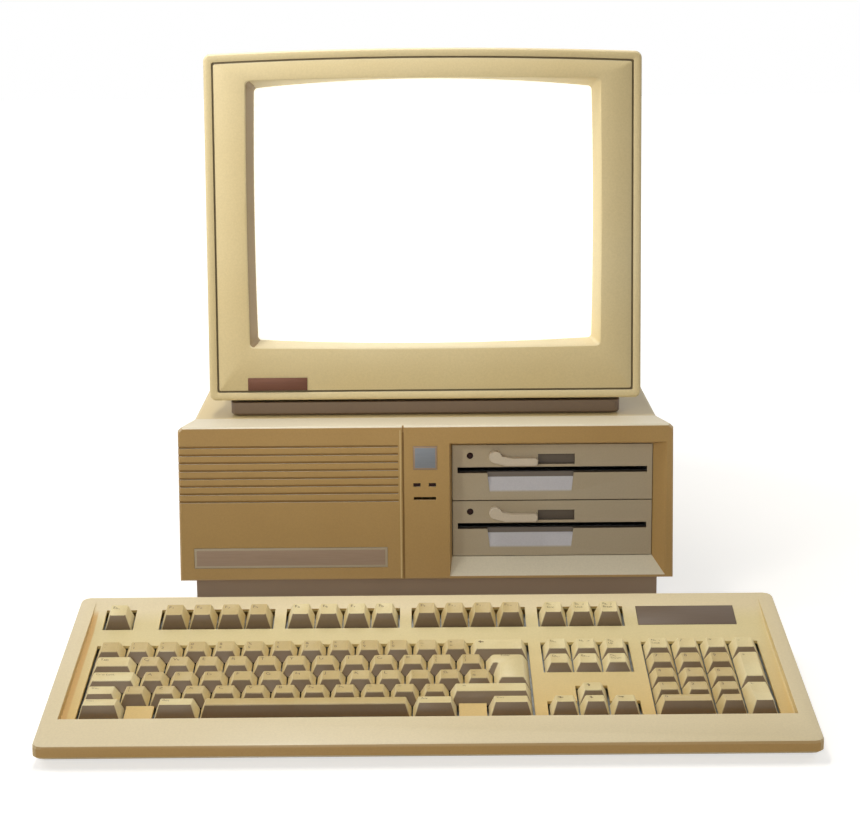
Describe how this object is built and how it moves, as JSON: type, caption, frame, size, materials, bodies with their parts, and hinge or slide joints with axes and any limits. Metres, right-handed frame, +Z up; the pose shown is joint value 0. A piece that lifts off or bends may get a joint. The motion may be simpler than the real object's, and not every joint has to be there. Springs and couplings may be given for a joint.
{
  "type": "desktop computer",
  "caption": "Desktop computer set: tube monitor on a flat system unit with stacked disk drives, and a full-size keyboard in front.",
  "frame": {"origin": "on the desk, under the middle of the set's overall box", "axes": "+Y from the user's side to the back, +Z up, +X to the right as the user sits"},
  "size_m": [0.48, 0.687, 0.4153],
  "materials": {
    "tan_plastic": "fine moulded grain",
    "cream_plastic": "fine moulded grain",
    "grey_plastic": "fine moulded grain",
    "pale_plastic": "smooth",
    "dark_plastic": "matt",
    "painted_steel": "textured paint",
    "dark_steel": "textured paint",
    "zinc_steel": "zinc plated sheet",
    "lamp_red": "clear coloured",
    "circuit_board": "lacquered board",
    "tube_glass": "polished, phosphor behind",
    "copper": "enamelled wire",
    "rubber": "matt",
    "key_cream": "fine grain",
    "key_tan": "fine grain"
  },
  "bodies": {
    "system_unit": {"chassis_tray": "dark_steel", "top_cover": "painted_steel", "front_bezel": "tan_plastic", "drive_cage": "zinc_steel", "upper_drive_body": "zinc_steel", "lower_drive_body": "zinc_steel", "upper_drive_bezel": "grey_plastic", "lower_drive_bezel": "grey_plastic", "upper_drive_lamp": "lamp_red", "lower_drive_lamp": "lamp_red", "power_lamp": "lamp_red", "disk_lamp": "lamp_red", "motherboard": "circuit_board", "expansion_card": "circuit_board", "power_supply_case": "zinc_steel", "mains_inlet": "dark_plastic", "keyboard_socket": "dark_plastic", "parallel_port": "zinc_steel", "serial_port": "zinc_steel", "front_left_foot": "rubber", "front_right_foot": "rubber", "rear_left_foot": "rubber", "rear_right_foot": "rubber"},
    "upper_lever": {"upper_drive_lever": "pale_plastic"},
    "lower_lever": {"lower_drive_lever": "pale_plastic"},
    "fan_rotor": {"psu_fan": "dark_plastic"},
    "unit_rocker": {"power_switch": "dark_plastic"},
    "monitor": {"monitor_bezel": "cream_plastic", "monitor_cabinet": "cream_plastic", "monitor_foot": "dark_plastic", "crt_tube": "tube_glass", "deflection_yoke": "copper", "crt_neck_board": "circuit_board", "monitor_main_board": "circuit_board", "line_transformer": "dark_plastic", "monitor_mains_inlet": "dark_plastic", "monitor_video_socket": "zinc_steel"},
    "monitor_rocker": {"monitor_power_switch": "dark_plastic"},
    "brightness": {"brightness_knob": "dark_plastic"},
    "contrast": {"contrast_knob": "dark_plastic"},
    "keyboard": {"keyboard_top_case": "cream_plastic", "keyboard_base": "cream_plastic", "key_plate": "key_tan"},
    "left_leg": {"left_flip_foot": "dark_plastic"},
    "right_leg": {"right_flip_foot": "dark_plastic"},
    "key_space": {"space_bar": "key_tan"},
    "key_enter": {"enter_key": "key_cream"},
    "key_backspace": {"backspace_key": "key_cream"},
    "key_tab": {"tab_key": "key_cream"},
    "key_caps_lock": {"caps_lock_key": "key_cream"},
    "key_left_shift": {"left_shift_key": "key_cream"},
    "key_right_shift": {"right_shift_key": "key_cream"},
    "key_escape": {"escape_key": "key_cream"},
    "key_up": {"up_arrow_key": "key_cream"},
    "key_down": {"down_arrow_key": "key_cream"},
    "key_left": {"left_arrow_key": "key_cream"},
    "key_right": {"right_arrow_key": "key_cream"},
    "key_pad_enter": {"keypad_enter_key": "key_cream"},
    "key_pad_plus": {"keypad_plus_key": "key_cream"},
    "key_pad_zero": {"keypad_zero_key": "key_tan"}
  },
  "joints": [
    {"name": "monitor_lift", "type": "slide", "parent": "system_unit", "child": "monitor", "axis": [0, 0, 1], "range_m": [0, 0.1]},
    {"name": "keyboard_move", "type": "slide", "parent": "system_unit", "child": "keyboard", "axis": [0, -1, 0], "range_m": [0, 0.15]},
    {"name": "upper_lever_turn", "type": "hinge", "parent": "system_unit", "child": "upper_lever", "pos_m": [0.0516, -0.0365, 0.1161], "axis": [0, 1, 0], "range_deg": [0, 90]},
    {"name": "lower_lever_turn", "type": "hinge", "parent": "system_unit", "child": "lower_lever", "pos_m": [0.0516, -0.0365, 0.0729], "axis": [0, 1, 0], "range_deg": [0, 90]},
    {"name": "fan_spin", "type": "hinge", "parent": "system_unit", "child": "fan_rotor", "pos_m": [0.072, 0.3205, 0.07], "axis": [0, 1, 0], "continuous": true},
    {"name": "unit_rocker_tilt", "type": "hinge", "parent": "system_unit", "child": "unit_rocker", "pos_m": [0.144, 0.332, 0.09], "axis": [-1, 0, 0], "range_deg": [0, 16]},
    {"name": "monitor_rocker_tilt", "type": "hinge", "parent": "monitor", "child": "monitor_rocker", "pos_m": [0.03, 0.31934, 0.19639], "axis": [-1, 0, 0], "range_deg": [0, 16]},
    {"name": "brightness_turn", "type": "hinge", "parent": "monitor", "child": "brightness", "pos_m": [-0.005, 0.32362, 0.19601], "axis": [0, 0.9962, -0.0872], "range_deg": [-135, 135]},
    {"name": "contrast_turn", "type": "hinge", "parent": "monitor", "child": "contrast", "pos_m": [-0.033, 0.32362, 0.19601], "axis": [0, 0.9962, -0.0872], "range_deg": [-135, 135]},
    {"name": "left_leg_fold", "type": "hinge", "parent": "keyboard", "child": "left_leg", "pos_m": [-0.185, -0.1595, 0.01677], "axis": [-1, 0, 0], "range_deg": [0, 90]},
    {"name": "right_leg_fold", "type": "hinge", "parent": "keyboard", "child": "right_leg", "pos_m": [0.185, -0.1595, 0.01677], "axis": [-1, 0, 0], "range_deg": [0, 90]},
    {"name": "space_press", "type": "slide", "parent": "keyboard", "child": "key_space", "axis": [0, 0.165, -0.9863], "range_m": [0, 0.0035], "stiffness_N_per_m": 150, "springref_m": -0.003},
    {"name": "enter_press", "type": "slide", "parent": "keyboard", "child": "key_enter", "axis": [0, 0.165, -0.9863], "range_m": [0, 0.0035], "stiffness_N_per_m": 150, "springref_m": -0.003},
    {"name": "backspace_press", "type": "slide", "parent": "keyboard", "child": "key_backspace", "axis": [0, 0.165, -0.9863], "range_m": [0, 0.0035], "stiffness_N_per_m": 150, "springref_m": -0.003},
    {"name": "tab_press", "type": "slide", "parent": "keyboard", "child": "key_tab", "axis": [0, 0.165, -0.9863], "range_m": [0, 0.0035], "stiffness_N_per_m": 150, "springref_m": -0.003},
    {"name": "caps_lock_press", "type": "slide", "parent": "keyboard", "child": "key_caps_lock", "axis": [0, 0.165, -0.9863], "range_m": [0, 0.0035], "stiffness_N_per_m": 150, "springref_m": -0.003},
    {"name": "left_shift_press", "type": "slide", "parent": "keyboard", "child": "key_left_shift", "axis": [0, 0.165, -0.9863], "range_m": [0, 0.0035], "stiffness_N_per_m": 150, "springref_m": -0.003},
    {"name": "right_shift_press", "type": "slide", "parent": "keyboard", "child": "key_right_shift", "axis": [0, 0.165, -0.9863], "range_m": [0, 0.0035], "stiffness_N_per_m": 150, "springref_m": -0.003},
    {"name": "escape_press", "type": "slide", "parent": "keyboard", "child": "key_escape", "axis": [0, 0.2756, -0.9613], "range_m": [0, 0.0035], "stiffness_N_per_m": 150, "springref_m": -0.003},
    {"name": "up_press", "type": "slide", "parent": "keyboard", "child": "key_up", "axis": [0, 0.165, -0.9863], "range_m": [0, 0.0035], "stiffness_N_per_m": 150, "springref_m": -0.003},
    {"name": "down_press", "type": "slide", "parent": "keyboard", "child": "key_down", "axis": [0, 0.165, -0.9863], "range_m": [0, 0.0035], "stiffness_N_per_m": 150, "springref_m": -0.003},
    {"name": "left_press", "type": "slide", "parent": "keyboard", "child": "key_left", "axis": [0, 0.165, -0.9863], "range_m": [0, 0.0035], "stiffness_N_per_m": 150, "springref_m": -0.003},
    {"name": "right_press", "type": "slide", "parent": "keyboard", "child": "key_right", "axis": [0, 0.165, -0.9863], "range_m": [0, 0.0035], "stiffness_N_per_m": 150, "springref_m": -0.003},
    {"name": "pad_enter_press", "type": "slide", "parent": "keyboard", "child": "key_pad_enter", "axis": [0, 0.165, -0.9863], "range_m": [0, 0.0035], "stiffness_N_per_m": 150, "springref_m": -0.003},
    {"name": "pad_plus_press", "type": "slide", "parent": "keyboard", "child": "key_pad_plus", "axis": [0, 0.165, -0.9863], "range_m": [0, 0.0035], "stiffness_N_per_m": 150, "springref_m": -0.003},
    {"name": "pad_zero_press", "type": "slide", "parent": "keyboard", "child": "key_pad_zero", "axis": [0, 0.165, -0.9863], "range_m": [0, 0.0035], "stiffness_N_per_m": 150, "springref_m": -0.003}
  ]
}
